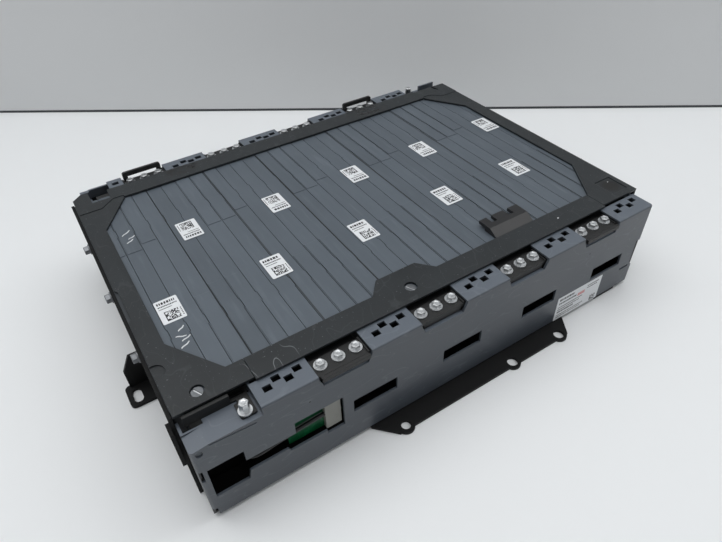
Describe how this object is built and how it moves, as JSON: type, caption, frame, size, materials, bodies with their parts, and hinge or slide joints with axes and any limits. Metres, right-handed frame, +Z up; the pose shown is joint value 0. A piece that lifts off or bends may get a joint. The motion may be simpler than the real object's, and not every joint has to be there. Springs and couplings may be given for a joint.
{
  "type": "electric vehicle battery module",
  "caption": "Electric vehicle battery module: a row of upright cell cartridges clamped under a flat top frame, with bolted terminal trays along grey covers and a flange with bolt holes",
  "frame": {"origin": "on the underside of the base plate, under the middle of the cell stack", "axes": "+X along the row of cartridges towards the end without the foot, +Y from the front cover to the rear cover, +Z up"},
  "size_m": [0.5208, 0.3879, 0.1118],
  "materials": {
    "cartridge_plastic": "fine grained blue-grey moulded plastic",
    "cover_plastic": "smooth satin blue-grey moulded plastic",
    "black_plastic": "satin black moulded plastic",
    "end_plastic": "dark grey moulded plastic",
    "black_steel": "satin black coated pressed steel",
    "bolt_steel": "zinc plated steel",
    "circuit_board": "green solder mask over glass laminate",
    "connector_plastic": "matt grey moulded plastic"
  },
  "bodies": {
    "root": {"base_plate": "black_steel", "cartridge_01": "cartridge_plastic", "cartridge_02": "cartridge_plastic", "cartridge_03": "cartridge_plastic", "cartridge_04": "cartridge_plastic", "cartridge_05": "cartridge_plastic", "cartridge_06": "cartridge_plastic", "cartridge_07": "cartridge_plastic", "cartridge_08": "cartridge_plastic", "cartridge_09": "cartridge_plastic", "cartridge_10": "cartridge_plastic", "cartridge_11": "cartridge_plastic", "cartridge_12": "cartridge_plastic", "cartridge_13": "cartridge_plastic", "cartridge_14": "cartridge_plastic", "cartridge_15": "cartridge_plastic", "cartridge_16": "cartridge_plastic", "cartridge_17": "cartridge_plastic", "cartridge_18": "cartridge_plastic", "cartridge_19": "cartridge_plastic", "cartridge_20": "cartridge_plastic", "cartridge_21": "cartridge_plastic", "cartridge_22": "cartridge_plastic", "cartridge_23": "cartridge_plastic", "cartridge_24": "cartridge_plastic", "cartridge_25": "cartridge_plastic", "cartridge_26": "cartridge_plastic", "cartridge_27": "cartridge_plastic", "cartridge_28": "cartridge_plastic", "cartridge_29": "cartridge_plastic", "cartridge_30": "cartridge_plastic", "front_carrier": "black_plastic", "front_cover": "cover_plastic", "front_rail": "black_steel", "front_terminal_busbar": "black_steel", "front_tray_1": "black_plastic", "front_tray_2": "black_plastic", "front_tray_3": "black_plastic", "front_tray_4": "black_plastic", "left_end_frame": "end_plastic", "left_end_plate": "black_steel", "left_loop": "black_plastic", "left_rail": "black_steel", "rail_clip": "black_plastic", "rear_carrier": "black_plastic", "rear_cover": "cover_plastic", "rear_rail": "black_steel", "rear_terminal_busbar": "black_steel", "rear_tray_1": "black_plastic", "rear_tray_2": "black_plastic", "rear_tray_3": "black_plastic", "rear_tray_4": "black_plastic", "right_end_frame": "end_plastic", "right_end_plate": "black_steel", "right_loop": "black_plastic", "right_rail": "black_steel", "sense_board": "circuit_board", "sense_connector": "connector_plastic", "terminal_bolts": "bolt_steel", "sense_harness": "black_plastic"}
  },
  "joints": []
}
